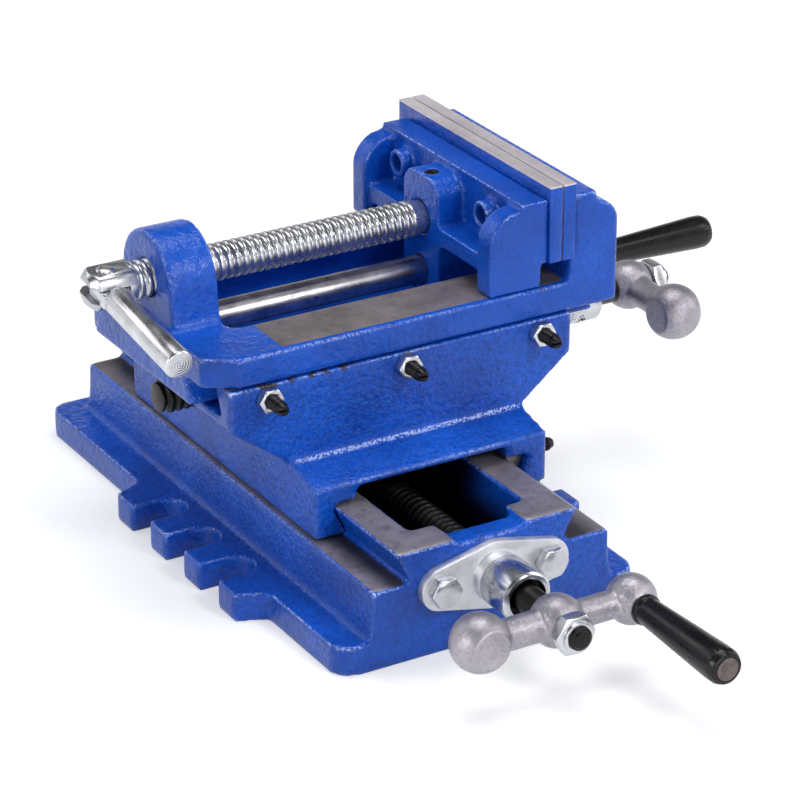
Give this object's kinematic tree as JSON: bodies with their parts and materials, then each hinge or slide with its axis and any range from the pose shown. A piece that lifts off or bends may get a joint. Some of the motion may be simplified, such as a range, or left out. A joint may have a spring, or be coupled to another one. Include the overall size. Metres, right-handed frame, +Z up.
{
  "type": "cross slide vise",
  "caption": "Blue cast iron cross slide vise with two dovetail slides, ball cranks with graduated dials, steel jaw plates and a folding clamp handle",
  "frame": {"origin": "on the table plane under the middle of the saddle", "axes": "+X from the handle towards the fixed jaw, +Y from the lower crank to the back of the base, +Z up"},
  "size_m": [0.2696, 0.3098, 0.1277],
  "materials": {
    "blue_paint": "gloss enamel on sand-cast iron",
    "ground_steel": "ground",
    "zinc_steel": "bright zinc plate",
    "polished_steel": "polished, oiled",
    "bright_chrome": "bright plated",
    "black_oxide": "black oxide, oiled",
    "cast_grey": "plated casting, shot blasted",
    "brass": "machined",
    "black_plastic": "moulded, semi-gloss"
  },
  "bodies": {
    "base_body": {"base": "blue_paint", "lower_bearing_plate": "zinc_steel", "lower_plate_bolts": "zinc_steel"},
    "saddle_body": {"saddle": "blue_paint", "lower_gib": "ground_steel", "lower_gib_screws": "black_oxide", "lower_gib_nuts": "zinc_steel", "lower_feed_nut": "brass", "lower_nut_screws": "black_oxide", "upper_gib": "ground_steel", "upper_gib_screws": "black_oxide", "upper_gib_nuts": "zinc_steel", "upper_feed_nut": "brass", "upper_nut_screws": "black_oxide"},
    "vise": {"vise_body": "blue_paint", "fixed_jaw_plate": "ground_steel", "fixed_plate_screws": "black_oxide", "guide_rod": "polished_steel", "upper_bearing_plate": "zinc_steel", "upper_plate_bolts": "zinc_steel"},
    "jaw": {"movable_jaw": "blue_paint", "movable_jaw_plate": "ground_steel", "movable_plate_screws": "black_oxide", "screw_retainer": "black_oxide"},
    "clamp": {"clamp_screw": "zinc_steel", "handle_pin": "zinc_steel"},
    "handle": {"clamp_handle": "zinc_steel"},
    "lower_screw": {"lower_feed_screw": "black_oxide", "lower_dial": "bright_chrome", "lower_dial_screw": "black_oxide", "lower_crank": "cast_grey", "lower_crank_nut": "zinc_steel", "lower_grip_spindle": "zinc_steel"},
    "lower_knob": {"lower_grip": "black_plastic"},
    "upper_screw": {"upper_feed_screw": "black_oxide", "upper_dial": "bright_chrome", "upper_dial_screw": "black_oxide", "upper_crank": "cast_grey", "upper_crank_nut": "zinc_steel", "upper_grip_spindle": "zinc_steel"},
    "upper_knob": {"upper_grip": "black_plastic"}
  },
  "joints": [
    {"name": "saddle_slide", "type": "slide", "parent": "base_body", "child": "saddle_body", "axis": [0, 1, 0], "range_m": [-0.04, 0.04]},
    {"name": "vise_slide", "type": "slide", "parent": "saddle_body", "child": "vise", "axis": [1, 0, 0], "range_m": [-0.016, 0.064]},
    {"name": "jaw_slide", "type": "slide", "parent": "vise", "child": "jaw", "axis": [-1, 0, 0], "range_m": [0, 0.085]},
    {"name": "clamp_turn", "type": "hinge", "parent": "jaw", "child": "clamp", "pos_m": [-0.05, 0, 0.1045], "axis": [-1, 0, 0], "range_deg": [0, 10204]},
    {"name": "handle_fold", "type": "hinge", "parent": "clamp", "child": "handle", "pos_m": [-0.085, 0, 0.1045], "axis": [0, -0.1392, 0.9903], "range_deg": [-180, 0]},
    {"name": "lower_turn", "type": "hinge", "parent": "base_body", "child": "lower_screw", "pos_m": [-0.0006, -0.107, 0.0248], "axis": [0, 1, 0], "range_deg": [-4804, 4804]},
    {"name": "lower_grip_spin", "type": "hinge", "parent": "lower_screw", "child": "lower_knob", "pos_m": [0.0279, -0.17, 0.0248], "axis": [0, 1, 0], "continuous": true},
    {"name": "upper_turn", "type": "hinge", "parent": "vise", "child": "upper_screw", "pos_m": [0.085, 0, 0.0599], "axis": [1, 0, 0], "range_deg": [-1924, 7684]},
    {"name": "upper_grip_spin", "type": "hinge", "parent": "upper_screw", "child": "upper_knob", "pos_m": [0.15, 0.0285, 0.0599], "axis": [1, 0, 0], "continuous": true}
  ],
  "couplings": [
    {"joint": "lower_turn", "follows": "saddle_slide", "rad_per_m": -2094.4},
    {"joint": "upper_turn", "follows": "vise_slide", "rad_per_m": 2094.4},
    {"joint": "clamp_turn", "follows": "jaw_slide", "rad_per_m": 2094.4}
  ]
}
